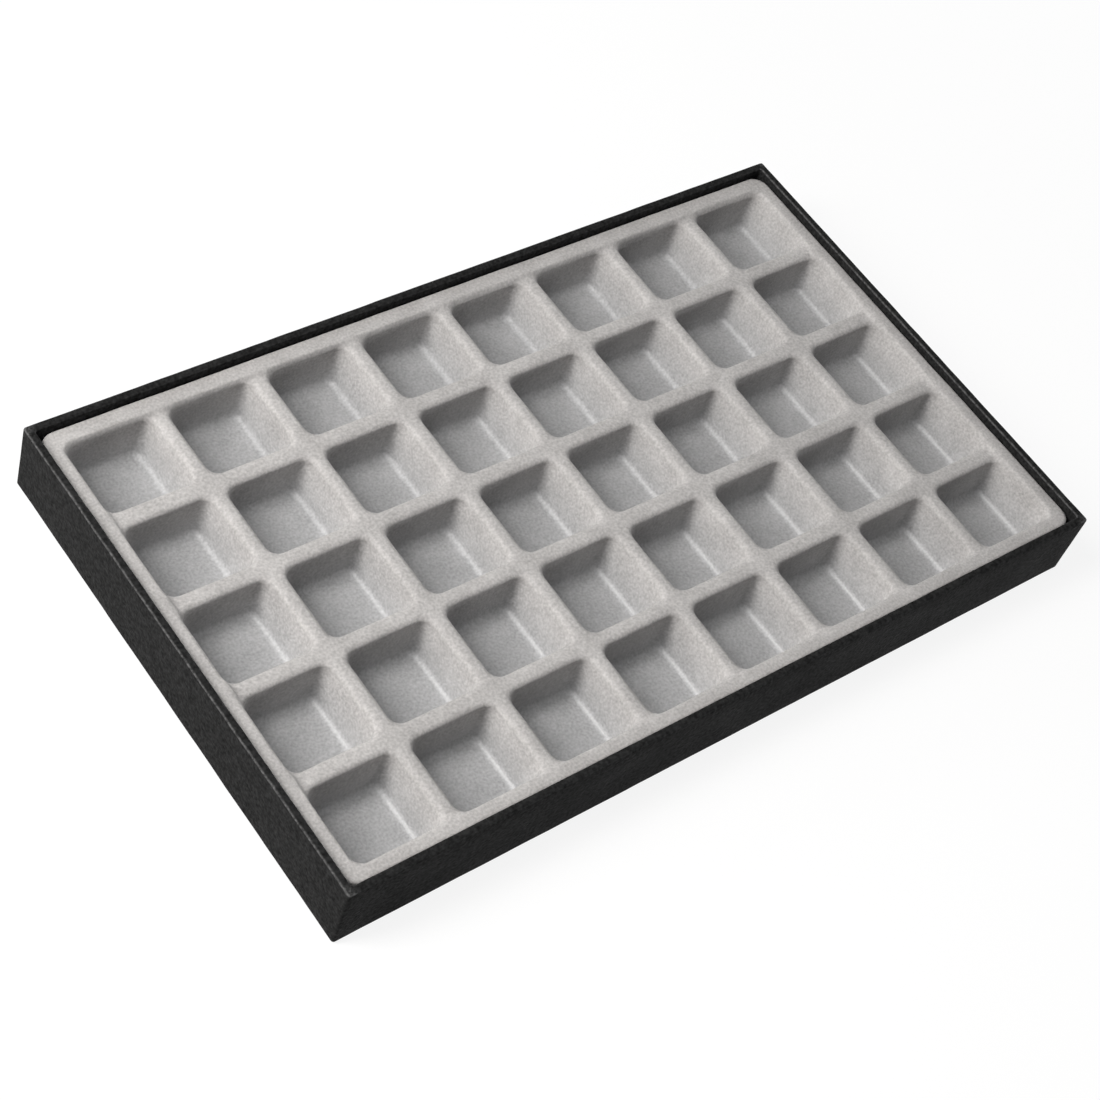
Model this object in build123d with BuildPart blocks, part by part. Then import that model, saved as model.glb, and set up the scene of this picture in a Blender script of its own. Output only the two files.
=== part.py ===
from build123d import *
import os

# Overall size of the wrapped tray, along X, Y and Z
tray_length = 350.0
tray_width = 210.0
tray_height = 32.0

# Thickness of each sheet and board
leatherette_thickness = 0.4
stay_thickness = 0.15
wall_board_thickness = 2.0
base_board_thickness = 2.0
lining_thickness = 0.3
cover_thickness = 0.5
pad_thickness = 6.0
sheet_thickness = 1.0

# Corners and folds of the leatherette
outer_corner_radius = 1.5
fold_radius = 1.0
turn_under_width = 12.0

# Paper stays that tie the wall boards together at the corners
stay_leg = 20.0
stay_margin = 1.5

# Cover sheet under the base
cover_margin = 1.5
cover_corner_radius = 3.0

# Gaps round the loose sheets and the insert
lining_clearance = 0.3
insert_clearance = 0.45
pad_clearance = 1.0

# Distance under which two points count as one
small_gap = 0.001

# Grid of compartments, and the ribs between its columns and rows
column_count = 8
row_count = 5
column_rib_width = 5.2
row_rib_width = 4.9

# One compartment, with how far its walls lean in from mouth to floor
end_wall_lean = 3.9
side_wall_lean = 2.5
compartment_depth = 17.5
compartment_radius = 4.0

# Border of the insert, and its rounded edges
end_border_width = 6.2
side_border_width = 5.8
insert_corner_radius = 6.0
border_rise = 1.2
border_corner_radius = 3.0
border_edge_radius = 1.0
rib_edge_radius = 1.5

# Heights from the table up
board_bottom = cover_thickness + leatherette_thickness
base_board_top = board_bottom + base_board_thickness
lining_top = base_board_top + lining_thickness
pad_top = lining_top + pad_thickness
compartment_floor = pad_top + sheet_thickness
rib_top = compartment_floor + compartment_depth
insert_top = rib_top + border_rise
board_top = tray_height - leatherette_thickness

# Plan sizes from the outside in
jacket_length = tray_length - 2 * leatherette_thickness
jacket_width = tray_width - 2 * leatherette_thickness
jacket_corner_radius = outer_corner_radius - leatherette_thickness
board_length = jacket_length - 2 * stay_thickness
board_width = jacket_width - 2 * stay_thickness
board_corner_radius = jacket_corner_radius - stay_thickness
board_fold_radius = fold_radius - leatherette_thickness
well_length = board_length - 2 * wall_board_thickness
well_width = board_width - 2 * wall_board_thickness
lined_length = well_length - 2 * leatherette_thickness
lined_width = well_width - 2 * leatherette_thickness
lining_length = lined_length - 2 * lining_clearance
lining_width = lined_width - 2 * lining_clearance
insert_length = lined_length - 2 * insert_clearance
insert_width = lined_width - 2 * insert_clearance
hollow_length = insert_length - 2 * sheet_thickness
hollow_width = insert_width - 2 * sheet_thickness
hollow_corner_radius = insert_corner_radius - sheet_thickness
pad_length = hollow_length - 2 * pad_clearance
pad_width = hollow_width - 2 * pad_clearance
cover_length = tray_length - 2 * cover_margin
cover_width = tray_width - 2 * cover_margin
window_length = tray_length - 2 * turn_under_width
window_width = tray_width - 2 * turn_under_width
field_length = insert_length - 2 * end_border_width
field_width = insert_width - 2 * side_border_width
column_pitch = (field_length + column_rib_width) / column_count
row_pitch = (field_width + row_rib_width) / row_count
mouth_length = column_pitch - column_rib_width
mouth_width = row_pitch - row_rib_width
floor_length = mouth_length - 2 * end_wall_lean
floor_width = mouth_width - 2 * side_wall_lean
backed_length = field_length + 2 * sheet_thickness
backed_width = field_width + 2 * sheet_thickness


def board_stack(length, width, corner_radius):
    """The base and wall boards as one block, rounded where the leatherette folds over them."""
    with BuildPart() as stack:
        with BuildSketch(Plane.XY.offset(board_bottom)):
            RectangleRounded(length, width, corner_radius)
        extrude(amount=board_top - board_bottom)
        fillet(stack.faces().sort_by(Axis.Z)[0].edges(), board_fold_radius)
        fillet(stack.faces().sort_by(Axis.Z)[-1].edges(), board_fold_radius)
        with BuildSketch(Plane.XY.offset(base_board_top)):
            Rectangle(well_length, well_width)
        extrude(amount=board_top - base_board_top, mode=Mode.SUBTRACT)
        fillet(stack.faces().sort_by(Axis.Z)[-1].inner_wires().edges(), board_fold_radius)
    return stack.part


def compartment_section(mouth, floor, growth):
    """Half widths and heights of a pocket's section, grown all round by a thickness."""
    half_mouth = mouth / 2 + growth
    half_floor = floor / 2 + growth
    floor_height = compartment_floor - growth
    return [
        (-half_mouth, rib_top),
        (-half_floor, floor_height),
        (half_floor, floor_height),
        (half_mouth, rib_top),
    ]


def compartment(growth):
    """One pocket with leaning walls and rounded corners, grown all round by a thickness."""
    with BuildPart() as pocket:
        with BuildSketch(Plane.XZ):
            with BuildLine():
                Polyline(*compartment_section(mouth_length, floor_length, growth), close=True)
            make_face()
        extrude(amount=mouth_width / 2 + growth, both=True)
        with BuildSketch(Plane.YZ):
            with BuildLine():
                Polyline(*compartment_section(mouth_width, floor_width, growth), close=True)
            make_face()
        extrude(amount=mouth_length / 2 + growth, both=True, mode=Mode.INTERSECT)
        fillet(pocket.edges() - pocket.edges().group_by(Axis.Z)[-1], compartment_radius + growth)
    return pocket.part


def is_on_field_outline(point):
    """True for a point on the outline that the outermost compartments share with the border."""
    gap_x = abs(abs(point.X) - field_length / 2)
    gap_y = abs(abs(point.Y) - field_width / 2)
    return min(gap_x, gap_y) < small_gap


def is_rib_edge(edge):
    """True for an edge where a rib's top meets a compartment, not where it meets the border."""
    start, end = edge @ 0, edge @ 1
    is_level = max(abs(start.Z - rib_top), abs(end.Z - rib_top)) < small_gap
    return is_level and not (is_on_field_outline(start) and is_on_field_outline(end))


boards = board_stack(board_length, board_width, board_corner_radius)
board_space = board_stack(jacket_length, jacket_width, jacket_corner_radius)
pocket_front = compartment(0)
pocket_back = compartment(sheet_thickness)

# Base board, inside the four wall boards
with BuildPart() as base_board:
    with BuildSketch(Plane.XY.offset(board_bottom)):
        Rectangle(well_length, well_width)
    extrude(amount=base_board_thickness)
base_board.part.label = "base_board"

# Long wall boards, with the short ones butted between them
with BuildPart() as near_wall_board:
    add(boards)
    split(bisect_by=Plane.XZ.offset(well_width / 2), keep=Keep.TOP)
near_wall_board.part.label = "near_wall_board"

with BuildPart() as far_wall_board:
    add(boards)
    split(bisect_by=Plane.XZ.offset(-well_width / 2), keep=Keep.BOTTOM)
far_wall_board.part.label = "far_wall_board"

with BuildPart() as left_wall_board:
    add(boards)
    split(bisect_by=Plane.YZ.offset(-well_length / 2), keep=Keep.BOTTOM)
    split(bisect_by=Plane.XZ.offset(well_width / 2), keep=Keep.BOTTOM)
    split(bisect_by=Plane.XZ.offset(-well_width / 2), keep=Keep.TOP)
left_wall_board.part.label = "left_wall_board"

with BuildPart() as right_wall_board:
    add(boards)
    split(bisect_by=Plane.YZ.offset(well_length / 2), keep=Keep.TOP)
    split(bisect_by=Plane.XZ.offset(well_width / 2), keep=Keep.BOTTOM)
    split(bisect_by=Plane.XZ.offset(-well_width / 2), keep=Keep.TOP)
right_wall_board.part.label = "right_wall_board"

# Four folded paper stays, between the boards and the leatherette
with BuildPart() as corner_stays:
    with BuildSketch(Plane.XY.offset(board_bottom + stay_margin)):
        RectangleRounded(jacket_length, jacket_width, jacket_corner_radius)
        RectangleRounded(board_length, board_width, board_corner_radius, mode=Mode.SUBTRACT)
        Rectangle(jacket_length - 2 * stay_leg, jacket_width, mode=Mode.SUBTRACT)
        Rectangle(jacket_length, jacket_width - 2 * stay_leg, mode=Mode.SUBTRACT)
    extrude(amount=board_top - board_bottom - 2 * stay_margin)
corner_stays.part.label = "corner_stays"

# Leatherette, folded over the walls, down their inner faces and under the base
with BuildPart() as leatherette_wrap:
    with BuildSketch(Plane.XY.offset(cover_thickness)):
        RectangleRounded(tray_length, tray_width, outer_corner_radius)
    extrude(amount=tray_height - cover_thickness)
    fillet(leatherette_wrap.faces().sort_by(Axis.Z)[0].edges(), fold_radius)
    fillet(leatherette_wrap.faces().sort_by(Axis.Z)[-1].edges(), fold_radius)
    with BuildSketch(Plane.XY.offset(base_board_top)):
        Rectangle(lined_length, lined_width)
    extrude(amount=tray_height - base_board_top, mode=Mode.SUBTRACT)
    fillet(leatherette_wrap.faces().sort_by(Axis.Z)[-1].inner_wires().edges(), fold_radius)
    with BuildSketch(Plane.XY.offset(cover_thickness)):
        Rectangle(window_length, window_width)
    extrude(amount=leatherette_thickness, mode=Mode.SUBTRACT)
    add(board_space, mode=Mode.SUBTRACT)
leatherette_wrap.part.label = "leatherette_wrap"

# Cover sheet under the base, pressed down round its edge over the leatherette
with BuildPart() as underside_cover:
    with BuildSketch(Plane.XY):
        RectangleRounded(cover_length, cover_width, cover_corner_radius)
    extrude(amount=cover_thickness)
    with BuildSketch(Plane.XY.offset(cover_thickness)):
        Rectangle(window_length, window_width)
    extrude(amount=leatherette_thickness)
underside_cover.part.label = "underside_cover"

# Lining sheet on the base board
with BuildPart() as floor_lining:
    with BuildSketch(Plane.XY.offset(base_board_top)):
        Rectangle(lining_length, lining_width)
    extrude(amount=lining_thickness)
floor_lining.part.label = "floor_lining"

# Pad on the lining that carries the floors of the compartments
with BuildPart() as support_pad:
    with BuildSketch(Plane.XY.offset(lining_top)):
        RectangleRounded(pad_length, pad_width, hollow_corner_radius)
    extrude(amount=pad_thickness)
support_pad.part.label = "support_pad"

# Hollow under the formed sheet, between the backs of the compartments
with BuildPart() as insert_hollow:
    with BuildSketch(Plane.XY.offset(lining_top)):
        RectangleRounded(hollow_length, hollow_width, hollow_corner_radius)
    extrude(amount=insert_top - sheet_thickness - lining_top)
    with BuildSketch(Plane.XY.offset(rib_top - sheet_thickness)):
        RectangleRounded(backed_length, backed_width, border_corner_radius + sheet_thickness)
    extrude(amount=border_rise, mode=Mode.SUBTRACT)
    with GridLocations(column_pitch, row_pitch, column_count, row_count):
        add(pocket_back, mode=Mode.SUBTRACT)

# Flocked insert, formed from one sheet and standing loose in the frame
with BuildPart() as compartment_insert:
    with BuildSketch(Plane.XY.offset(lining_top)):
        RectangleRounded(insert_length, insert_width, insert_corner_radius)
    extrude(amount=insert_top - lining_top)
    with BuildSketch(Plane.XY.offset(rib_top)):
        RectangleRounded(field_length, field_width, border_corner_radius)
    extrude(amount=border_rise, mode=Mode.SUBTRACT)
    fillet(compartment_insert.edges().group_by(Axis.Z)[-1], border_edge_radius)
    with GridLocations(column_pitch, row_pitch, column_count, row_count):
        add(pocket_front, mode=Mode.SUBTRACT)
    add(insert_hollow.part, mode=Mode.SUBTRACT)
    fillet(compartment_insert.edges().filter_by(is_rib_edge), rib_edge_radius)
compartment_insert.part.label = "compartment_insert"

os.makedirs("parts", exist_ok=True)
pieces = [
    base_board,
    near_wall_board,
    far_wall_board,
    left_wall_board,
    right_wall_board,
    corner_stays,
    leatherette_wrap,
    underside_cover,
    floor_lining,
    support_pad,
    compartment_insert,
]
for piece in pieces:
    export_step(piece.part, f"parts/{piece.part.label}.step")
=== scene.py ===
"""A shallow display tray: black leatherette over boards, with a loose flocked insert of compartments."""

import logging
import math
import random
from dataclasses import dataclass
from enum import Enum
from typing import Callable, Mapping, Sequence

import bmesh
import bpy
from mathutils import Matrix, Vector


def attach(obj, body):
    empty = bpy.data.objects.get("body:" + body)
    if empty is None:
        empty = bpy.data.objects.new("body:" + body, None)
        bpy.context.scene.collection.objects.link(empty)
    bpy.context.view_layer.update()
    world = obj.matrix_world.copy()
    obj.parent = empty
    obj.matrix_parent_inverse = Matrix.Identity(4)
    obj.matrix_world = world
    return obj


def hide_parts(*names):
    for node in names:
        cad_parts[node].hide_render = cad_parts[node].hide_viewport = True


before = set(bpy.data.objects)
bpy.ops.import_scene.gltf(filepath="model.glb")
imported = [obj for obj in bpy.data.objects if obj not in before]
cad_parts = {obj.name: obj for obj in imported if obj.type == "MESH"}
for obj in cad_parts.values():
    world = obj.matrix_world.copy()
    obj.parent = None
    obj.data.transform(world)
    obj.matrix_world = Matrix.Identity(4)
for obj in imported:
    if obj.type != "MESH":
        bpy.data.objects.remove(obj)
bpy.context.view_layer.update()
LOG = logging.getLogger("tray")

Test = Callable[[Vector], bool]
Colour = tuple[float, float, float]
Point = tuple[float, float, float]
Ring = tuple[float, float, float]  # half length, half width and height of a loop about the Z axis
Span = tuple[float, float]
Count = tuple[int, int]
Thing = bpy.types.Object
Material = bpy.types.Material
Node = bpy.types.Node
Socket = bpy.types.NodeSocket

MM = 0.001
TOUCH = 0.01 * MM  # how far apart two places may be and still count as one
FINE = 0.005 * MM  # points nearer than this become one
WHITE: Colour = (1.0, 1.0, 1.0)
WARM: Colour = (1.0, 0.985, 0.97)
WHOLE: Span = (0.0, 1.0)
MIDDLE: Span = (0.3, 0.7)  # where most of a noise's values lie
NARROW: Span = (0.35, 0.65)
WIDE: Span = (0.25, 0.75)
BAND = 0.314  # how wide a wave texture's bands are at a scale of 1
MIX_SHARE, MIX_ONE, MIX_OTHER, MIX_RESULT = 0, 6, 7, 2  # a mix node's sockets for two colours


class Pick(Enum):
    """The kinds of element that are chosen in edit mode."""

    VERT = "VERT"
    EDGE = "EDGE"


class Bench:
    """Edit mode on one mesh object, where what is worked on is chosen by its place."""

    def __init__(self, thing: Thing) -> None:
        """Takes the object that is worked on."""
        self.thing = thing

    def __enter__(self) -> "Bench":
        """Opens the object alone in edit mode.

        Returns:
            This bench.
        """
        make_active([self.thing])
        bpy.ops.object.mode_set(mode="EDIT")
        return self

    def __exit__(self, *error: object) -> None:
        """Goes back to object mode."""
        bpy.ops.object.mode_set(mode="OBJECT")

    def choose(self, pick: Pick, test: Test, border: bool = False) -> None:
        """Selects only the elements whose points all pass a test.

        Args:
            pick: The kind of element.
            test: Says whether a point passes, from its place.
            border: Takes only elements on the mesh's open border.
        """
        bpy.ops.mesh.select_all(action="DESELECT")
        bpy.ops.mesh.select_mode(type=pick.value)
        mesh = bmesh.from_edit_mesh(self.thing.data)
        for element in mesh.verts if pick is Pick.VERT else mesh.edges:
            points = [element] if pick is Pick.VERT else element.verts
            if all(test(point.co) for point in points) and (not border or element.is_boundary):
                element.select_set(True)
        mesh.select_flush_mode()
        bmesh.update_edit_mesh(self.thing.data)

    def all(self) -> None:
        """Selects everything."""
        bpy.ops.mesh.select_mode(type="VERT")
        bpy.ops.mesh.select_all(action="SELECT")

    def hollow(self) -> None:
        """Takes all faces away, keeps their edges and selects them."""
        self.all()
        bpy.ops.mesh.delete(type="ONLY_FACE")
        self.all()

    def divide(self, test: Test, parts: int) -> None:
        """Divides each edge whose ends pass a test into equal parts."""
        self.choose(Pick.EDGE, test)
        bpy.ops.mesh.subdivide(number_cuts=parts - 1)

    def move(self, x: float = 0.0, y: float = 0.0, z: float = 0.0) -> None:
        """Moves what is selected."""
        bpy.ops.transform.translate(value=(x, y, z))

    def resize(self, x: float, y: float) -> None:
        """Resizes what is selected about the Z axis."""
        bpy.ops.transform.resize(value=(x, y, 1.0), center_override=(0.0, 0.0, 0.0))

    def rings(self, start: Ring, stops: Sequence[Ring]) -> None:
        """Extrudes the selected loop through a row of rings.

        Args:
            start: The ring that the selected loop is.
            stops: The new rings in their order.
        """
        before = start
        for stop in stops:
            bpy.ops.mesh.extrude_region_move(TRANSFORM_OT_translate={"value": (0.0, 0.0, stop[2] - before[2])})
            self.resize(stop[0] / before[0], stop[1] / before[1])
            before = stop

    def weld(self, distance: float) -> None:
        """Merges points that lie closer together than a distance."""
        self.all()
        bpy.ops.mesh.remove_doubles(threshold=distance)

    def face_up(self, test: Test) -> None:
        """Gives all faces one direction.

        Args:
            test: Says whether a face, from its middle, is one of those that face up.
        """
        self.all()
        bpy.ops.mesh.normals_make_consistent(inside=False)
        mesh = bmesh.from_edit_mesh(self.thing.data)
        if sum(face.normal.z for face in mesh.faces if test(face.calc_center_median())) < 0:
            bpy.ops.mesh.flip_normals()


def make_active(things: Sequence[Thing]) -> None:
    """Selects some objects alone.

    Args:
        things: The objects, of which the first becomes the active one.
    """
    bpy.ops.object.select_all(action="DESELECT")
    for thing in things:
        thing.select_set(True)
    bpy.context.view_layer.objects.active = things[0]


def new_outline(name: str, length: float, width: float, height: float) -> Thing:
    """Adds a flat rectangle whose object sits at the origin.

    Args:
        name: The object's name.
        length: Its size along X.
        width: Its size along Y.
        height: Its height above the table.

    Returns:
        The new object.
    """
    bpy.ops.object.select_all(action="DESELECT")
    bpy.ops.mesh.primitive_plane_add(size=1.0, location=(0.0, 0.0, 0.0))
    thing = bpy.context.active_object
    thing.name = name
    with Bench(thing) as bench:
        bench.all()
        bench.resize(length, width)
        bench.move(z=height)
    return thing


def round_outline(name: str, start: Ring, corner: float, segments: int, sides: Count) -> Thing:
    """Adds a flat rounded rectangle of edges, with evenly divided sides.

    Args:
        name: The object's name.
        start: Half its length, half its width and its height.
        corner: The radius of its corners.
        segments: How many edges each corner has.
        sides: How many edges its sides along X and along Y have.

    Returns:
        The new object.
    """
    half_x, half_y, height = start
    thing = new_outline(name, 2 * half_x, 2 * half_y, height)
    with Bench(thing) as bench:
        bench.hollow()
        bpy.ops.mesh.bevel(offset=corner, segments=segments, affect="VERTICES", clamp_overlap=False)
        bench.divide(lambda p: abs(abs(p.y) - half_y) < TOUCH, sides[0])
        bench.divide(lambda p: abs(abs(p.x) - half_x) < TOUCH, sides[1])
    return thing


def apply_modifier(thing: Thing, kind: str, **settings: object) -> None:
    """Adds a modifier, sets it and applies it.

    Args:
        thing: The object.
        kind: The modifier's type.
        settings: Its settings by name.
    """
    make_active([thing])
    modifier = thing.modifiers.new(kind.lower(), kind)
    for key, value in settings.items():
        setattr(modifier, key, value)
    bpy.ops.object.modifier_apply(modifier=modifier.name)


def ripple(thing: Thing, name: str, size: float, depth: float) -> None:
    """Makes a surface slightly uneven.

    Args:
        thing: The object.
        name: What the unevenness is called.
        size: How large its blotches are.
        depth: How far it goes from its lowest to its highest.
    """
    clouds = bpy.data.textures.new(name, "CLOUDS")
    clouds.noise_scale = size
    apply_modifier(thing, "DISPLACE", texture=clouds, texture_coords="LOCAL", strength=depth, mid_level=0.5)


def smooth(thing: Thing, degrees: float) -> None:
    """Shades an object smooth, apart from edges sharper than an angle."""
    make_active([thing])
    bpy.ops.object.shade_smooth_by_angle(angle=math.radians(degrees))


def join_all(things: Sequence[Thing], name: str) -> Thing:
    """Joins objects into the first one.

    Args:
        things: The objects, of which the first one stays.
        name: The joined object's name.

    Returns:
        The joined object.
    """
    make_active(things)
    bpy.ops.object.join()
    joined = bpy.context.active_object
    joined.name = name
    joined.data.name = name
    return joined


def dress(thing: Thing, material: Material) -> None:
    """Puts one material on all of an object."""
    thing.data.materials.clear()
    thing.data.materials.append(material)


def dress_node(name: str, material: Material) -> None:
    """Puts one material on all of a CAD node that stays as it is."""
    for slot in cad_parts[name].material_slots:
        slot.material = material


class Nodes:
    """A tree of shader nodes that is being put together."""

    def __init__(self, owner: Material | bpy.types.World) -> None:
        """Empties a tree.

        Args:
            owner: The material or the sky that the tree belongs to.
        """
        owner.use_nodes = True
        self.tree = owner.node_tree
        self.tree.nodes.clear()

    def add(self, kind: str, inputs: Mapping[str | int, object] | None = None, **settings: object) -> Node:
        """Adds a node.

        Args:
            kind: The node's type.
            inputs: A value or another node's output for each named or numbered socket.
            settings: The node's own settings.

        Returns:
            The new node.
        """
        node = self.tree.nodes.new(kind)
        for key, value in settings.items():
            setattr(node, key, value)
        for name, value in (inputs or {}).items():
            if isinstance(value, Socket):
                self.tree.links.new(value, node.inputs[name])
            else:
                node.inputs[name].default_value = value
        return node

    def sum(self, one: Socket, other: Socket, clamp: bool = False) -> Socket:
        """Two values added, kept from 0 to 1 if clamped."""
        inputs = {0: one, 1: other}
        return self.add("ShaderNodeMath", inputs, operation="ADD", use_clamp=clamp).outputs["Value"]

    def glow(self, kind: str, colour: Colour, strength: float) -> Node:
        """A shader of one plain colour and strength."""
        return self.add(kind, {"Color": (*colour, 1.0), "Strength": strength})

    def mix(self, share: Socket, one: Node, other: Node) -> Node:
        """One shader where the share is 0 and the other where it is 1."""
        return self.add("ShaderNodeMixShader", {"Fac": share, 1: one.outputs[0], 2: other.outputs[0]})

    def seen_rays(self) -> Socket:
        """Tells apart the rays by which the background is seen.

        Returns:
            One for rays that see it directly, in a gloss or through glass, and zero for the rest.
        """
        rays = self.add("ShaderNodeLightPath").outputs
        seen = self.sum(rays["Is Camera Ray"], rays["Is Glossy Ray"])
        return self.sum(seen, rays["Is Transmission Ray"], clamp=True)


class Recipe(Nodes):
    """A node material whose patterns keep to their place on the object."""

    def __init__(self, name: str) -> None:
        """Starts an empty material.

        Args:
            name: The material's name.
        """
        self.material = bpy.data.materials.new(name)
        super().__init__(self.material)
        self.place = self.add("ShaderNodeTexCoord").outputs["Object"]

    def noise(self, size: float, detail: float, stretch: Point = (1.0, 1.0, 1.0)) -> Socket:
        """Soft cloudy noise.

        Args:
            size: About how large its blotches are, in metres.
            detail: How many finer layers it has.
            stretch: How much closer together they lie along each axis.

        Returns:
            The noise, from 0 to 1.
        """
        place = self.add("ShaderNodeMapping", {"Vector": self.place, "Scale": stretch}).outputs["Vector"]
        inputs = {"Vector": place, "Scale": 1.0 / size, "Detail": detail}
        return self.add("ShaderNodeTexNoise", inputs).outputs["Fac"]

    def cells(self, size: float) -> Socket:
        """Distance to the nearest of many scattered points about that far apart in metres."""
        return self.add("ShaderNodeTexVoronoi", {"Vector": self.place, "Scale": 1.0 / size}).outputs["Distance"]

    def bands(self, width: float, axis: str, waver: float) -> Socket:
        """Even bands that follow each other along an axis.

        Args:
            width: How wide each band is, in metres.
            axis: The axis.
            waver: How much the bands waver.

        Returns:
            The bands, from 0 to 1.
        """
        inputs = {"Vector": self.place, "Scale": BAND / width, "Distortion": waver}
        settings = {"wave_type": "BANDS", "bands_direction": axis, "wave_profile": "SIN"}
        return self.add("ShaderNodeTexWave", inputs, **settings).outputs["Fac"]

    def along(self, axis: str) -> Socket:
        """How far a point lies along an axis, in metres."""
        return self.add("ShaderNodeSeparateXYZ", {"Vector": self.place}).outputs[axis]

    def from_middle(self, axis: str) -> Socket:
        """How far a point lies from the object's middle along an axis, in metres."""
        return self.add("ShaderNodeMath", {0: self.along(axis)}, operation="ABSOLUTE").outputs["Value"]

    def reshape(self, value: Socket, span: Span, result: Span) -> Socket:
        """Stretches a value from one span to another and keeps it inside.

        Args:
            value: What is stretched.
            span: The lowest and highest value that count.
            result: What those two become.

        Returns:
            The new value.
        """
        inputs = {"Value": value, "From Min": span[0], "From Max": span[1], "To Min": result[0], "To Max": result[1]}
        return self.add("ShaderNodeMapRange", inputs).outputs["Result"]

    def product(self, first: Socket, *others: Socket) -> Socket:
        """Multiplies values.

        Args:
            first: The first value.
            others: The values that it is multiplied by.

        Returns:
            The product.
        """
        for other in others:
            first = self.add("ShaderNodeMath", {0: first, 1: other}, operation="MULTIPLY").outputs["Value"]
        return first

    def mottle(
        self, one: Socket, other: Socket, share: float, one_span: Span = MIDDLE, other_span: Span = MIDDLE
    ) -> Socket:
        """Lays two patterns over each other.

        Args:
            one: The first pattern.
            other: The second pattern.
            share: How much of the whole is the first one's.
            one_span: The lowest and highest value of the first that count.
            other_span: The same of the second.

        Returns:
            Both together, from 0 to 1.
        """
        return self.sum(
            self.reshape(one, one_span, (0.0, share)),
            self.reshape(other, other_span, (0.0, 1.0 - share)),
        )

    def blend(self, share: Socket, one: Socket, other: Socket) -> Socket:
        """One colour where the share is 0 and the other where it is 1."""
        inputs = {MIX_SHARE: share, MIX_ONE: one, MIX_OTHER: other}
        return self.add("ShaderNodeMix", inputs, data_type="RGBA").outputs[MIX_RESULT]

    def tint(self, value: Socket, low: Colour, high: Colour) -> Socket:
        """Turns a value into a colour.

        Args:
            value: The value, from 0 to 1.
            low: The colour at 0.
            high: The colour at 1.

        Returns:
            The colour.
        """
        ramp = self.add("ShaderNodeValToRGB", {"Fac": value})
        ramp.color_ramp.elements[0].color = (*low, 1.0)
        ramp.color_ramp.elements[1].color = (*high, 1.0)
        return ramp.outputs["Color"]

    def bump(self, height: Socket, depth: float, strength: float) -> Socket:
        """Fine relief of that depth in metres."""
        inputs = {"Height": height, "Distance": depth, "Strength": strength}
        return self.add("ShaderNodeBump", inputs).outputs["Normal"]

    def finish(self, **sockets: object) -> Material:
        """Ends the material in the main shader.

        Args:
            sockets: The shader's sockets, with underscores for blanks.

        Returns:
            The finished material.
        """
        inputs = {name.replace("_", " "): value for name, value in sockets.items()}
        shader = self.add("ShaderNodeBsdfPrincipled", inputs)
        self.add("ShaderNodeOutputMaterial", {"Surface": shader.outputs["BSDF"]})
        return self.material


@dataclass(frozen=True)
class Flock:
    """Warm grey flock on the formed sheet, glossier low down, with painted shade: its colour is darker and cooler
    down in the compartments.
    """

    dark: Colour = (0.36, 0.345, 0.336)
    light: Colour = (0.67, 0.648, 0.632)
    painted_shade_dark: Colour = (0.29, 0.29, 0.293)
    painted_shade_light: Colour = (0.52, 0.52, 0.525)
    fibre: float = 1.0 * MM
    nap: float = 13 * MM
    relief: float = 0.3 * MM
    shade_and_gloss_heights: Span = (10.5 * MM, 26 * MM)  # the heights where the painted shade is darkest and the gloss strongest, and where both have gone
    glossy: Span = (0.15, 0.5)  # where in that span the gloss starts to fade and has gone
    rough: Span = (0.36, 0.8)
    extra_rough: Span = (0.0, 0.15)

    def make(self) -> Material:
        """Mixes the flock.

        Returns:
            The finished material.
        """
        recipe = Recipe("flocked_sheet")
        fibre = recipe.noise(self.fibre, detail=1.5)
        shade = recipe.mottle(fibre, recipe.noise(self.nap, detail=4.0), share=0.7, one_span=WIDE)
        height_share = recipe.reshape(recipe.along("Z"), self.shade_and_gloss_heights, WHOLE)
        # Painted shade: darker, cooler colours down in the compartments, blended in by height.
        painted_shade = recipe.tint(shade, self.painted_shade_dark, self.painted_shade_light)
        return recipe.finish(
            Base_Color=recipe.blend(height_share, painted_shade, recipe.tint(shade, self.dark, self.light)),
            Roughness=recipe.sum(
                recipe.reshape(height_share, self.glossy, self.rough),
                recipe.reshape(fibre, NARROW, self.extra_rough),
            ),
            Normal=recipe.bump(fibre, self.relief, strength=0.42),
            Specular_IOR_Level=0.65,
            Sheen_Weight=0.3,
            Sheen_Roughness=0.35,
        )


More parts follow.
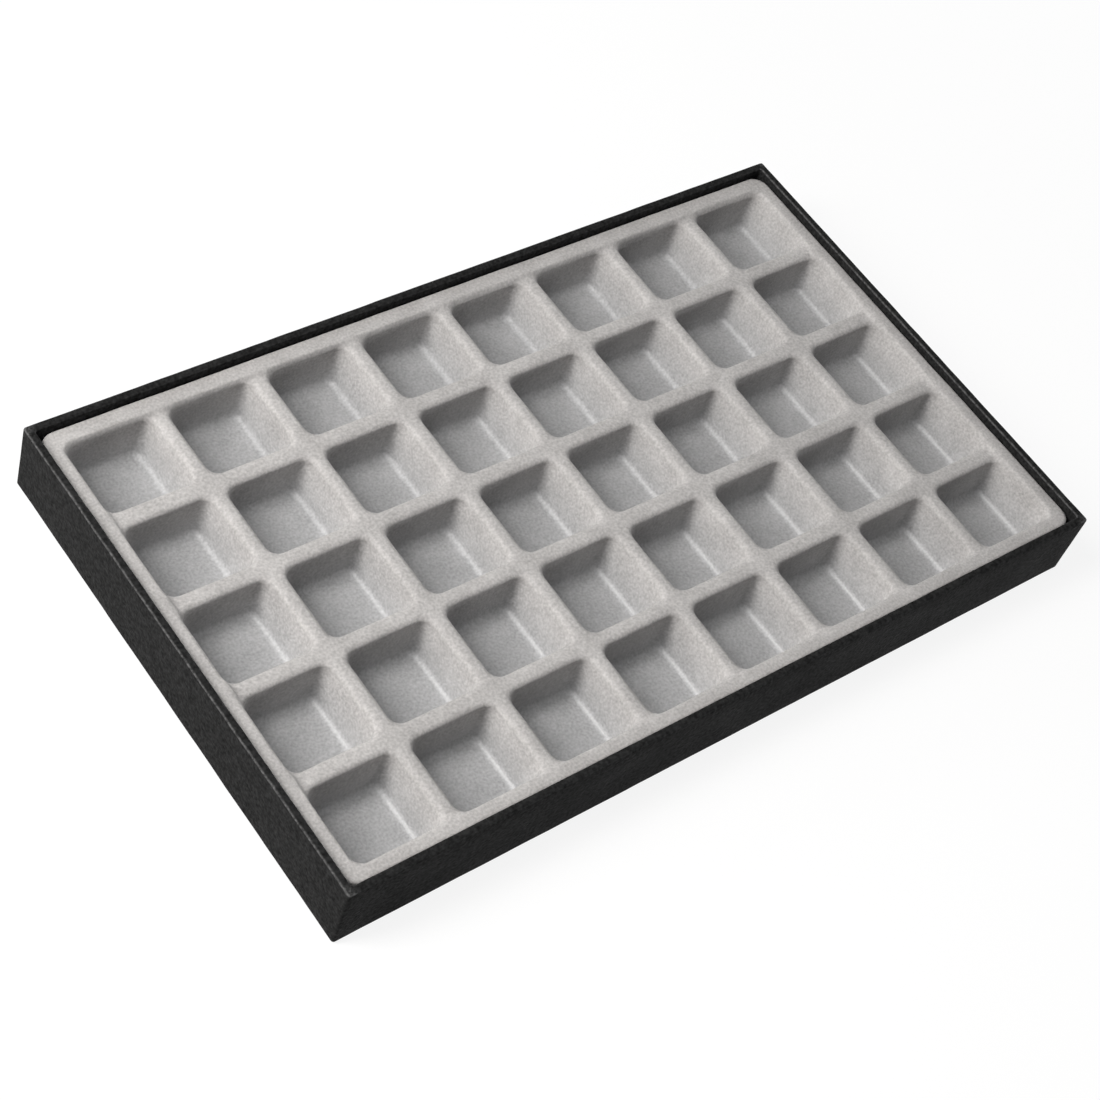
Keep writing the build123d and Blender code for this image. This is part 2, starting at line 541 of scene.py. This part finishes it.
@dataclass(frozen=True)
class Leatherette:
    """Black coated paper with a fine pebbled grain, with painted highlights in a lighter colour along the folds of
    the rim and at its corners.
    """

    dark: Colour = (0.012, 0.012, 0.012)
    light: Colour = (0.036, 0.036, 0.036)
    # The lighter colour of the painted highlights on the folds and corners.
    glint: Colour = (0.22, 0.22, 0.22)
    grain: float = 1.0 * MM
    crease: float = 1.3 * MM
    blotch: float = 18.0 * MM
    relief: float = 0.16 * MM
    rough: Span = (0.4, 0.55)
    fold_foot: Span = (31.2 * MM, 31.5 * MM)  # the heights where the painted highlight line of the folds starts
    fold_head: Span = (31.7 * MM, 31.95 * MM)  # and where it ends
    ends: Span = (171.0 * MM, 171.5 * MM)  # how far out it gets plainer, along the length
    plainer: Span = (0.15, 1.0)
    break_size: float = 1.0 * MM
    broken: Span = (0.25, 1.0)
    corners: Span = (274.0 * MM, 277.0 * MM)  # how far out the corners get painted highlights, length and width added
    corner_foot: Span = (30.8 * MM, 31.7 * MM)
    corner_break_size: float = 0.7 * MM
    corner_span: Span = (0.3, 0.8)
    corner_glint: Span = (0.0, 0.7)

    def make(self) -> Material:
        """Mixes the leatherette.

        Returns:
            The finished material.
        """
        recipe = Recipe("leatherette")
        pebbles = recipe.cells(self.grain)
        creases = recipe.noise(self.crease, detail=3.0)
        blotches = recipe.noise(self.blotch, detail=3.0)
        plain = recipe.tint(recipe.reshape(creases, MIDDLE, WHOLE), self.dark, self.light)
        return recipe.finish(
            # Painted highlight: the lighter colour laid along the rim's folds and on its corners.
            Base_Color=recipe.blend(self.paint_highlights(recipe), plain, recipe.tint(creases, self.light, self.glint)),
            Roughness=recipe.reshape(blotches, MIDDLE, self.rough),
            Normal=recipe.bump(recipe.sum(pebbles, creases), self.relief, strength=0.8),
            Specular_IOR_Level=0.004,
        )

    def paint_highlights(self, recipe: Recipe) -> Socket:
        """Paints a broken highlight line along the folds, plainest at the two ends, and painted highlights on the
        corners.

        Args:
            recipe: The leatherette's recipe.

        Returns:
            How far each place is rubbed, with 0 for new.
        """
        height, length, width = recipe.along("Z"), recipe.from_middle("X"), recipe.from_middle("Y")
        # Painted highlight: a broken light line along the folds of the rim, clearest at the short ends.
        line = recipe.product(
            recipe.reshape(height, self.fold_foot, WHOLE),
            recipe.reshape(height, self.fold_head, (1.0, 0.0)),
            recipe.reshape(recipe.noise(self.break_size, detail=3.0), NARROW, self.broken),
            recipe.reshape(length, self.ends, self.plainer),
        )
        # Painted highlights on the rim's corners.
        corner = recipe.product(
            recipe.reshape(recipe.sum(length, width), self.corners, WHOLE),
            recipe.reshape(height, self.corner_foot, WHOLE),
            recipe.reshape(recipe.noise(self.corner_break_size, detail=3.0), self.corner_span, self.corner_glint),
        )
        return recipe.sum(line, corner)


@dataclass(frozen=True)
class Fibreboard:
    """Pressed brown board with loose fibres and a slightly furry cut edge."""

    dark: Colour = (0.36, 0.26, 0.17)
    light: Colour = (0.52, 0.4, 0.28)
    fibre: float = 0.9 * MM
    flat: Point = (1.0, 1.0, 3.0)
    patch: float = 19.8 * MM
    relief: float = 0.12 * MM
    rough: Span = (0.75, 0.92)

    def make(self) -> Material:
        """Mixes the board.

        Returns:
            The finished material.
        """
        recipe = Recipe("fibreboard")
        fibres = recipe.noise(self.fibre, detail=4.0, stretch=self.flat)
        shade = recipe.mottle(fibres, recipe.noise(self.patch, detail=3.0), share=0.7)
        return recipe.finish(
            Base_Color=recipe.tint(shade, self.dark, self.light),
            Roughness=recipe.reshape(fibres, MIDDLE, self.rough),
            Normal=recipe.bump(fibres, self.relief, strength=0.7),
        )


@dataclass(frozen=True)
class KraftPaper:
    """Brown gummed paper with faint lines along its length."""

    dark: Colour = (0.44, 0.32, 0.2)
    light: Colour = (0.6, 0.46, 0.31)
    fibre: float = 0.5 * MM
    line: float = 1.5 * MM
    drawn: Point = (1.0, 1.0, 0.05)
    relief: float = 0.05 * MM
    rough: Span = (0.6, 0.75)

    def make(self) -> Material:
        """Mixes the paper.

        Returns:
            The finished material.
        """
        recipe = Recipe("kraft_paper")
        fibres = recipe.noise(self.fibre, detail=3.0)
        lines = recipe.noise(self.line, detail=2.0, stretch=self.drawn)
        return recipe.finish(
            Base_Color=recipe.tint(recipe.mottle(fibres, lines, share=0.6), self.dark, self.light),
            Roughness=recipe.reshape(lines, MIDDLE, self.rough),
            Normal=recipe.bump(fibres, self.relief, strength=0.5),
        )


@dataclass(frozen=True)
class SuedePaper:
    """Black suede paper with a short nap that catches the light in patches."""

    dark: Colour = (0.016, 0.016, 0.018)
    light: Colour = (0.05, 0.05, 0.054)
    nap: float = 0.5 * MM
    patch: float = 25.0 * MM
    brushed: Point = (1.0, 0.45, 1.0)
    rubs: Span = (0.35, 0.7)
    relief: float = 0.12 * MM
    rough: Span = (0.78, 0.92)

    def make(self) -> Material:
        """Mixes the suede paper.

        Returns:
            The finished material.
        """
        recipe = Recipe("suede_paper")
        fibres = recipe.noise(self.nap, detail=3.0)
        glint = recipe.noise(self.patch, detail=4.0, stretch=self.brushed)
        shade = recipe.mottle(fibres, glint, share=0.6, one_span=WIDE, other_span=self.rubs)
        return recipe.finish(
            Base_Color=recipe.tint(shade, self.dark, self.light),
            Roughness=recipe.reshape(glint, MIDDLE, self.rough),
            Normal=recipe.bump(fibres, self.relief, strength=0.7),
            Sheen_Weight=0.3,
            Sheen_Roughness=0.45,
        )


@dataclass(frozen=True)
class LiningCloth:
    """Thin black lining cloth in a plain weave."""

    dark: Colour = (0.014, 0.014, 0.015)
    light: Colour = (0.045, 0.045, 0.048)
    thread: float = 0.45 * MM
    waver: float = 0.6
    crossings: Span = (0.2, 1.8)  # the values of both threads' bands together that count
    slub: float = 2.7 * MM
    relief: float = 0.08 * MM
    rough: Span = (0.7, 0.85)

    def make(self) -> Material:
        """Mixes the cloth.

        Returns:
            The finished material.
        """
        recipe = Recipe("lining_cloth")
        warp, weft = (recipe.bands(self.thread, axis, self.waver) for axis in "XY")
        weave = recipe.sum(warp, weft)
        slubs = recipe.noise(self.slub, detail=3.0)
        shade = recipe.mottle(weave, slubs, share=0.7, one_span=self.crossings)
        return recipe.finish(
            Base_Color=recipe.tint(shade, self.dark, self.light),
            Roughness=recipe.reshape(slubs, MIDDLE, self.rough),
            Normal=recipe.bump(weave, self.relief, strength=0.7),
            Sheen_Weight=0.15,
        )


@dataclass(frozen=True)
class CorrugatedBoard:
    """Brown corrugated board, with the flutes showing faintly through its facing and dark in its edges."""

    dark: Colour = (0.36, 0.25, 0.15)
    light: Colour = (0.56, 0.42, 0.28)
    flute: float = 6.0 * MM
    fibre: float = 0.72 * MM
    relief: float = 0.25 * MM
    rough: Span = (0.72, 0.88)

    def make(self) -> Material:
        """Mixes the corrugated board.

        Returns:
            The finished material.
        """
        recipe = Recipe("corrugated_board")
        flutes = recipe.bands(self.flute, "X", waver=0.15)
        fibres = recipe.noise(self.fibre, detail=4.0)
        shade = recipe.mottle(flutes, fibres, share=0.35, one_span=WHOLE)
        return recipe.finish(
            Base_Color=recipe.tint(shade, self.dark, self.light),
            Roughness=recipe.reshape(fibres, MIDDLE, self.rough),
            Normal=recipe.bump(flutes, self.relief, strength=0.6),
        )


@dataclass
class FlockedInsert:
    """The loose insert: one thin sheet formed into eight columns and five rows of compartments."""

    columns: int = 8
    rows: int = 5
    pitch_x: float = 42.0 * MM
    pitch_y: float = 39.3 * MM
    shift_y: float = -0.87 * MM  # where the grid's middle lies
    near_trim: float = 0.7 * MM  # how much shorter the near row is
    mouth_x: float = 18.3 * MM
    mouth_y: float = 16.55 * MM
    mouth_corner: float = 5.2 * MM
    foot_x: float = 14.2 * MM
    foot_y: float = 15.6 * MM
    cove: float = 3.2 * MM
    floor: float = 10.2 * MM
    floor_shares: tuple[float, ...] = (0.8, 0.55, 0.3)  # the sizes of the rings on a floor, with its edge as 1
    rib_top: float = 27.7 * MM
    lip: float = 2.1 * MM
    lip_spread: float = 1.05
    border_rise: float = 1.2 * MM
    border_x: Span = (-165.2 * MM, 165.2 * MM)
    border_y: Span = (-95.4 * MM, 94.4 * MM)
    border_cuts: Span = (-0.5 * MM, 0.5 * MM)  # where new edges give the border's step its points
    border_steps: tuple[float, ...] = (-0.6 * MM, -0.1 * MM, 0.2 * MM, 0.45 * MM)  # where it rises by a part
    outer_x: float = 171.5 * MM
    outer_y: float = 101.5 * MM
    outer_corner: float = 6.0 * MM
    outer_lip: float = 1.3 * MM
    past_field: Span = (168.1 * MM, 99.0 * MM)  # only the border's outer edge lies further out along X or Y
    skirt_heights: tuple[float, ...] = (20.0 * MM, 12.0 * MM, 3.2 * MM)
    sheet: float = 1.0 * MM
    ripple_size: float = 16.0 * MM
    ripple_depth: float = 0.3 * MM
    seed: int = 7
    uneven_size: Span = (0.99, 1.008)
    uneven_place: Span = (-0.3, 0.3)  # in millimetres
    side_steps: int = 6
    corner_steps: int = 6
    lip_steps: int = 4
    wall_steps: int = 4
    cove_steps: int = 6
    crease: float = 60.0

    def even_outline(self, size: Span, count: Count) -> Thing:
        """Adds a rectangle of edges as high as the ribs, divided as the outlines of compartments are.

        Args:
            size: Its length and width.
            count: How many compartments lie along X and along Y.

        Returns:
            The new object.
        """
        outline = new_outline("outline", *size, self.rib_top)
        edges = self.side_steps + self.corner_steps
        with Bench(outline) as bench:
            bench.hollow()
            for side in (-size[1] / 2, size[1] / 2):
                bench.divide(lambda p: abs(p.y - side) < TOUCH, count[0] * edges)
            for side in (-size[0] / 2, size[0] / 2):
                bench.divide(lambda p: abs(p.x - side) < TOUCH, count[1] * edges)
        return outline

    def pocket_rings(self) -> list[Ring]:
        """Works out the rings of a compartment.

        Returns:
            Each ring, from the rib's top over its edge, down the wall and round the cove to the floor.
        """
        depth = self.rib_top - self.floor
        lean_x = (self.mouth_x - self.foot_x) / depth
        lean_y = (self.mouth_y - self.foot_y) / depth
        lean = math.atan(lean_x)
        inner_x = self.foot_x + lean_x * self.cove - self.cove / math.cos(lean)
        inner_y = self.foot_y + lean_y * self.cove - self.cove / math.cos(math.atan(lean_y))
        top = self.rib_top - self.lip
        low = self.floor + self.cove * (1 - math.sin(lean))
        rings = []
        for step in range(self.lip_steps, 0, -1):
            turn = math.pi / 2 * step / self.lip_steps
            out = self.lip * (1 - math.cos(turn)) * self.lip_spread - lean_x * self.lip
            rings.append((self.mouth_x + out, self.mouth_y + out, top + self.lip * math.sin(turn)))
        for step in range(self.wall_steps + 1):
            z = top + (low - top) * step / self.wall_steps
            fall = self.rib_top - z
            rings.append((self.mouth_x - lean_x * fall, self.mouth_y - lean_y * fall, z))
        for step in range(1, self.cove_steps + 1):
            turn = lean + (math.pi / 2 - lean) * step / self.cove_steps
            out = self.cove * math.cos(turn)
            rings.append((inner_x + out, inner_y + out, self.floor + self.cove * (1 - math.sin(turn))))
        return rings + [(inner_x * share, inner_y * share, self.floor) for share in self.floor_shares]

    def model_tile(self) -> Thing:
        """Models one compartment with the halves of the ribs round it.

        Returns:
            The new object.
        """
        rings = self.pocket_rings()
        mouth = (*rings[0][:2], self.rib_top)
        rim = round_outline("tile", mouth, self.mouth_corner, self.corner_steps, (self.side_steps, self.side_steps))
        tile = join_all([rim, self.even_outline((self.pitch_x, self.pitch_y), (1, 1))], "tile")
        with Bench(tile) as bench:
            bench.all()
            bpy.ops.mesh.bridge_edge_loops()
            bench.choose(Pick.EDGE, self.inside_tile, border=True)
            bench.rings(rings[0], rings[1:])
            bpy.ops.mesh.merge(type="CENTER")
            bench.weld(FINE)
            bench.face_up(lambda p: abs(p.z - self.rib_top) < TOUCH)
        return tile

    def inside_tile(self, point: Vector) -> bool:
        """False only on the outline that a tile shares with its neighbours."""
        gap = min(abs(abs(point.x) - self.pitch_x / 2), abs(abs(point.y) - self.pitch_y / 2))
        return gap >= TOUCH

    def loosen(self, bench: Bench, chance: random.Random) -> None:
        """Makes a compartment a little different in size and place, and its lower part again in place.

        Args:
            bench: The compartment's own.
            chance: Where the random draws come from.
        """
        bench.choose(Pick.VERT, self.inside_tile)
        bench.resize(chance.uniform(*self.uneven_size), chance.uniform(*self.uneven_size))
        bench.move(chance.uniform(*self.uneven_place) * MM, chance.uniform(*self.uneven_place) * MM)
        bench.choose(Pick.VERT, lambda p: p.z < self.rib_top - 2 * self.lip)
        bench.move(chance.uniform(*self.uneven_place) * MM, chance.uniform(*self.uneven_place) * MM)

    def shorten(self, bench: Bench) -> None:
        """Makes a compartment of the near row a little shorter.

        Args:
            bench: The compartment's own.
        """
        bench.choose(Pick.VERT, self.inside_tile)
        bench.resize(1.0, 1.0 - self.near_trim / self.pitch_y)
        bench.move(y=self.near_trim / 2)
        self.trim_near_edge(bench, self.pitch_y)

    def trim_near_edge(self, bench: Bench, width: float) -> None:
        """Draws the near side of an outline of that width in, where the grid meets the near border."""
        bench.choose(Pick.VERT, lambda p: p.y < TOUCH - width / 2)
        bench.move(y=self.near_trim)

    def lay_tiles(self, tile: Thing) -> Thing:
        """Copies the compartment over the whole grid, each one a little different.

        Args:
            tile: The compartment that is copied.

        Returns:
            All the compartments as one object.
        """
        chance = random.Random(self.seed)
        tiles = []
        for column in range(self.columns):
            for row in range(self.rows):
                make_active([tile])
                bpy.ops.object.duplicate()
                tiles.append(bpy.context.active_object)
                with Bench(tiles[-1]) as bench:
                    self.loosen(bench, chance)
                    if row == 0:
                        self.shorten(bench)
                    bench.all()
                    bench.move(
                        (column - (self.columns - 1) / 2) * self.pitch_x,
                        (row - (self.rows - 1) / 2) * self.pitch_y + self.shift_y,
                    )
        bpy.data.objects.remove(tile)
        grid = join_all(tiles, "compartments")
        with Bench(grid) as bench:
            bench.weld(TOUCH)
        return grid

    def skirt_rings(self) -> list[Ring]:
        """Works out the rings of the insert's outside.

        Returns:
            Each ring, from the border over its rounded edge and down the skirt.
        """
        rings = []
        for step in range(self.lip_steps + 1):
            turn = math.pi / 2 * step / self.lip_steps
            in_by = self.outer_lip * (1 - math.sin(turn))
            z = self.rib_top - self.outer_lip * (1 - math.cos(turn))
            rings.append((self.outer_x - in_by, self.outer_y - in_by, z))
        return rings + [(self.outer_x, self.outer_y, z) for z in self.skirt_heights]

    def model_skirt(self) -> Thing:
        """Models the border, its rounded outer edge and the skirt that the insert stands on.

        Returns:
            The new object, whose border is as high as the ribs.
        """
        rings = self.skirt_rings()
        edges = self.side_steps + self.corner_steps
        sides = (self.columns * edges - self.corner_steps, self.rows * edges - self.corner_steps)
        edge = round_outline("skirt", rings[0], self.outer_corner, self.corner_steps, sides)
        length, width = self.columns * self.pitch_x, self.rows * self.pitch_y
        field = self.even_outline((length, width), (self.columns, self.rows))
        with Bench(field) as bench:
            self.trim_near_edge(bench, width)
            bench.all()
            bench.move(y=self.shift_y)
        skirt = join_all([edge, field], "skirt")
        past_x, past_y = self.past_field
        with Bench(skirt) as bench:
            bench.all()
            bpy.ops.mesh.bridge_edge_loops()
            bench.choose(Pick.EDGE, lambda p: abs(p.x) > past_x or abs(p.y) > past_y, border=True)
            bench.rings(rings[0], rings[1:])
        return skirt

    def beyond_ribs(self, point: Vector) -> float:
        """Measures how far a point lies outside the field of compartments with its round corners.

        Args:
            point: The point.

        Returns:
            The distance, below zero inside.
        """
        (left, right), (near, far) = self.border_x, self.border_y
        out_x = max(left - point.x, point.x - right) + self.mouth_corner
        out_y = max(near - point.y, point.y - far) + self.mouth_corner
        if out_x > 0 and out_y > 0:
            return math.hypot(out_x, out_y) - self.mouth_corner
        return max(out_x, out_y) - self.mouth_corner

    def raise_border(self, piece: Thing) -> None:
        """Lifts the border above the ribs, in a short rounded step.

        Args:
            piece: The insert.
        """
        start = self.rib_top - 2 * self.lip
        with Bench(piece) as bench:
            for axis, places in ((Vector((1, 0, 0)), self.border_x), (Vector((0, 1, 0)), self.border_y)):
                for place in places:
                    for offset in self.border_cuts:
                        bench.all()
                        bpy.ops.mesh.bisect(plane_co=axis * (place + offset), plane_no=axis)
            for offset in self.border_steps:
                bench.choose(Pick.VERT, lambda p: p.z > start and self.beyond_ribs(p) > offset)
                bench.move(z=self.border_rise / len(self.border_steps))

    def build(self, material: Material) -> Thing:
        """Models the insert, dresses it and sets it in place of its CAD node.

        Args:
            material: The flocked finish.

        Returns:
            The finished piece.
        """
        grid = self.lay_tiles(self.model_tile())
        piece = join_all([grid, self.model_skirt()], "flocked_insert")
        with Bench(piece) as bench:
            bench.weld(TOUCH)
            bench.face_up(lambda p: abs(p.z - self.rib_top) < TOUCH)
        self.raise_border(piece)
        ripple(piece, "hand_formed", self.ripple_size, self.ripple_depth)
        apply_modifier(piece, "SOLIDIFY", thickness=self.sheet, offset=-1.0, use_rim=True)
        smooth(piece, self.crease)
        dress(piece, material)
        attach(piece, "insert")
        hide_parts("compartment_insert")
        return piece


@dataclass
class LeatheretteWrap:
    """The black leatherette: turned under the base, up the outer faces, over the rim and down the inner faces."""

    outer_x: float = 175.0 * MM
    outer_y: float = 105.0 * MM
    corner: float = 1.1 * MM
    corner_steps: int = 6
    side_parts: Count = (70, 42)
    turn_under: float = 12.0 * MM
    low: float = 0.5 * MM
    top: float = 32.0 * MM
    fold: float = 1.0 * MM
    fold_steps: int = 5
    wall: float = 3.15 * MM
    outer_heights: tuple[float, ...] = (8.0 * MM, 16.0 * MM, 24.0 * MM)
    inner_heights: tuple[float, ...] = (24.0 * MM, 14.0 * MM, 2.9 * MM)
    thickness: float = 0.4 * MM
    ripple_size: float = 9.0 * MM
    ripple_depth: float = 0.22 * MM
    mitre_rise: float = 0.18 * MM
    mitre_depth: float = 0.6 * MM  # how far down the rim's corners the folds of a mitre stand out
    mitre_width: float = 0.1 * MM
    crease: float = 50.0

    def arc(self, inset: float, height: float, start: float, end: float) -> list[Ring]:
        """Works out the rings round a quarter fold.

        Args:
            inset: How far inside the outer faces the fold's centre lies.
            height: The height of the fold's centre.
            start: The angle where it starts, in degrees, with 0 outwards and 90 up.
            end: The angle where it ends.

        Returns:
            Each ring in its order.
        """
        rings = []
        for step in range(self.fold_steps + 1):
            turn = math.radians(start + (end - start) * step / self.fold_steps)
            out = self.fold * math.cos(turn) - inset
            rings.append((self.outer_x + out, self.outer_y + out, height + self.fold * math.sin(turn)))
        return rings

    def profile(self) -> list[Ring]:
        """Works out all the rings.

        Returns:
            Each ring, from the turned-under edge up, over the rim and down inside.
        """
        fold, inset, wall = self.fold, self.turn_under, self.wall
        return [
            (self.outer_x - inset, self.outer_y - inset, self.low),
            *self.arc(fold, self.low + fold, -90, 0),
            *((self.outer_x, self.outer_y, z) for z in self.outer_heights),
            *self.arc(fold, self.top - fold, 0, 90),
            *self.arc(wall - fold, self.top - fold, 90, 180),
            *((self.outer_x - wall, self.outer_y - wall, z) for z in self.inner_heights),
        ]

    def on_mitre(self, point: Vector) -> bool:
        """True on the diagonals of the rim's four corners."""
        off = (self.outer_x - abs(point.x)) - (self.outer_y - abs(point.y))
        return point.z > self.top - self.mitre_depth and abs(off) < self.mitre_width

    def build(self, material: Material) -> Thing:
        """Models the leatherette, dresses it and sets it in place of its CAD node.

        Args:
            material: The leatherette's finish.

        Returns:
            The finished piece.
        """
        rings = self.profile()
        start = (self.outer_x, self.outer_y, self.low)
        piece = round_outline("leatherette_wrap_sheet", start, self.corner, self.corner_steps, self.side_parts)
        with Bench(piece) as bench:
            bench.all()
            bench.resize(rings[0][0] / self.outer_x, rings[0][1] / self.outer_y)
            bench.rings(rings[0], rings[1:])
            bench.weld(FINE)
            bench.face_up(lambda p: p.z > self.top - TOUCH)
            bench.choose(Pick.VERT, self.on_mitre)
            bench.move(z=self.mitre_rise)
        ripple(piece, "glued_by_hand", self.ripple_size, self.ripple_depth)
        apply_modifier(piece, "SOLIDIFY", thickness=self.thickness, offset=-1.0, use_rim=True)
        smooth(piece, self.crease)
        dress(piece, material)
        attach(piece, "frame")
        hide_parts("leatherette_wrap")
        return piece


@dataclass
class UndersideCover:
    """The suede paper under the base, pressed down over the edges of the turned-under leatherette."""

    half_x: float = 173.5 * MM
    half_y: float = 103.5 * MM
    corner: float = 3.0 * MM
    corner_steps: int = 6
    rise: float = 0.4 * MM
    steps: tuple[Span, ...] = (  # how far in each ring lies and its share of the rise
        (0.6 * MM, 0.0),
        (10.5 * MM, 0.0),
        (11.0 * MM, 0.12),
        (11.6 * MM, 0.5),
        (12.2 * MM, 0.88),
        (12.8 * MM, 1.0),
    )
    thickness: float = 0.5 * MM
    crease: float = 50.0

    def build(self, material: Material) -> Thing:
        """Models the cover, dresses it and sets it in place of its CAD node.

        Args:
            material: The suede paper's finish.

        Returns:
            The finished piece.
        """
        piece = new_outline("underside_cover_sheet", 2 * self.half_x, 2 * self.half_y, 0.0)
        stops = [(self.half_x - inset, self.half_y - inset, self.rise * share) for inset, share in self.steps]
        with Bench(piece) as bench:
            bench.all()
            bpy.ops.mesh.bevel(offset=self.corner, segments=self.corner_steps, affect="VERTICES")
            bench.hollow()
            bench.rings((self.half_x, self.half_y, 0.0), stops)
            bpy.ops.mesh.edge_face_add()
            bench.face_up(lambda p: True)
        apply_modifier(piece, "SOLIDIFY", thickness=self.thickness, offset=1.0, use_rim=True)
        smooth(piece, self.crease)
        dress(piece, material)
        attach(piece, "frame")
        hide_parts("underside_cover")
        return piece


@dataclass
class BoardFrame:
    """The boards and sheets that are hidden inside, whose CAD shapes stay as they are."""

    boards: tuple[str, ...] = (
        "base_board", "near_wall_board", "far_wall_board", "left_wall_board", "right_wall_board"
    )

    def build(self) -> None:
        """Gives each kept CAD node its finish."""
        fibreboard = Fibreboard().make()
        for name in self.boards:
            dress_node(name, fibreboard)
        dress_node("corner_stays", KraftPaper().make())
        dress_node("floor_lining", LiningCloth().make())
        dress_node("support_pad", CorrugatedBoard().make())


@dataclass(frozen=True)
class Lamp:
    """A soft rectangular lamp that faces the tray's middle."""

    name: str
    height: float  # above the table, in degrees
    turn: float  # from -X towards +Y, in degrees
    distance: float
    size: Span
    power: float
    colour: Colour = WHITE

    def hang(self) -> None:
        """Adds the lamp to the scene."""
        height, turn = math.radians(self.height), math.radians(self.turn)
        way = Vector((-math.cos(height) * math.cos(turn), math.cos(height) * math.sin(turn), math.sin(height)))
        bpy.ops.object.light_add(type="AREA", location=way * self.distance)
        lamp = bpy.context.active_object
        lamp.name = self.name
        lamp.rotation_euler = way.to_track_quat("Z", "Y").to_euler()
        lamp.data.shape = "RECTANGLE"
        lamp.data.size, lamp.data.size_y = self.size
        lamp.data.energy = self.power
        lamp.data.color = self.colour


@dataclass
class Studio:
    """The camera at the photograph's angle, the pale floor, the soft lamps and the weak sky."""

    eye: Point = (-0.48235, -0.35089, 0.69769)
    aim: Point = (-0.01143, -0.0061, 0.0)
    roll: float = -22.3692
    lens: float = 79.12
    sensor: float = 36.0
    lamps: tuple[Lamp, ...] = (
        Lamp("key_light", height=46.0, turn=15.0, distance=1.25, size=(0.4, 0.95), power=16.6, colour=WARM),
        Lamp("back_light", height=30.0, turn=75.0, distance=1.4, size=(1.2, 0.5), power=3.5),
        Lamp("fill_light", height=5.0, turn=225.0, distance=1.4, size=(1.2, 0.2), power=4.0),
    )
    floor_size: float = 12.0
    speck: float = 3.0 * MM
    floor_dark: Colour = (0.86, 0.86, 0.86)
    floor_light: Colour = (0.9, 0.9, 0.9)
    shaded: Colour = (0.16, 0.16, 0.16)  # what a shadow can darken where the floor is seen
    lit: float = 0.88  # and what it can't
    fade: Span = (0.25, 0.7)  # how far from the tray's middle the shadow starts to fade and has gone
    sky: Colour = (0.86, 0.93, 1.0)
    sky_strength: float = 0.08

    def place_camera(self) -> None:
        """Adds the camera and makes it the scene's own."""
        eye = Vector(self.eye)
        ahead = (Vector(self.aim) - eye).normalized()
        level = ahead.cross(Vector((0, 0, 1))).normalized()
        upright = level.cross(ahead)
        turn = math.radians(self.roll)
        up = upright * math.cos(turn) + level * math.sin(turn)
        right = ahead.cross(up)
        bpy.ops.object.camera_add(location=self.eye)
        camera = bpy.context.active_object
        camera.name = "photo_camera"
        pose = Matrix((right, up, -ahead)).transposed().to_4x4()
        pose.translation = eye
        camera.matrix_world = pose
        camera.data.sensor_width = self.sensor
        camera.data.lens = self.lens
        bpy.context.scene.camera = camera

    def lay_floor(self) -> None:
        """Adds the pale floor, which is seen as white but for the tray's shadow near it."""
        bpy.ops.object.select_all(action="DESELECT")
        bpy.ops.mesh.primitive_plane_add(size=self.floor_size, location=(0.0, 0.0, 0.0))
        floor = bpy.context.active_object
        floor.name = "floor"
        recipe = Recipe("pale_floor")
        specks = recipe.reshape(recipe.noise(self.speck, detail=2.0), MIDDLE, WHOLE)
        pale = recipe.tint(specks, self.floor_dark, self.floor_light)
        plain = recipe.add("ShaderNodeBsdfDiffuse", {"Color": pale})
        shaded = recipe.add("ShaderNodeBsdfDiffuse", {"Color": (*self.shaded, 1.0)})
        lit = recipe.glow("ShaderNodeEmission", WHITE, self.lit)
        near = recipe.add("ShaderNodeAddShader", {0: shaded.outputs[0], 1: lit.outputs[0]})
        far = recipe.glow("ShaderNodeEmission", WHITE, 1.0)
        away = recipe.add("ShaderNodeVectorMath", {0: recipe.place}, operation="LENGTH").outputs["Value"]
        white = recipe.mix(recipe.reshape(away, self.fade, WHOLE), near, far)
        mixed = recipe.mix(recipe.seen_rays(), plain, white)
        recipe.add("ShaderNodeOutputMaterial", {"Surface": mixed.outputs[0]})
        dress(floor, recipe.material)

    def hang_sky(self) -> None:
        """Adds the weak sky, which is seen as white."""
        world = bpy.data.worlds.new("sky")
        bpy.context.scene.world = world
        nodes = Nodes(world)
        weak = nodes.glow("ShaderNodeBackground", self.sky, self.sky_strength)
        white = nodes.glow("ShaderNodeBackground", WHITE, 1.0)
        mixed = nodes.mix(nodes.seen_rays(), weak, white)
        nodes.add("ShaderNodeOutputWorld", {"Surface": mixed.outputs[0]})

    def build(self) -> None:
        """Sets up the camera, the floor, the lamps and the sky."""
        self.place_camera()
        self.lay_floor()
        for lamp in self.lamps:
            lamp.hang()
        self.hang_sky()
        bpy.context.scene.view_settings.view_transform = "Standard"


def report(piece: Thing) -> None:
    """Logs how large a finished piece's mesh is."""
    triangles = sum(len(face.vertices) - 2 for face in piece.data.polygons)
    LOG.info("%s: %d triangles", piece.name, triangles)


def main() -> None:
    """Builds the tray and its studio."""
    logging.basicConfig(level=logging.INFO, format="%(name)s: %(message)s")
    Studio().build()
    for piece in (
        LeatheretteWrap().build(Leatherette().make()),
        FlockedInsert().build(Flock().make()),
        UndersideCover().build(SuedePaper().make()),
    ):
        report(piece)
    BoardFrame().build()


if __name__ == "__main__":
    main()
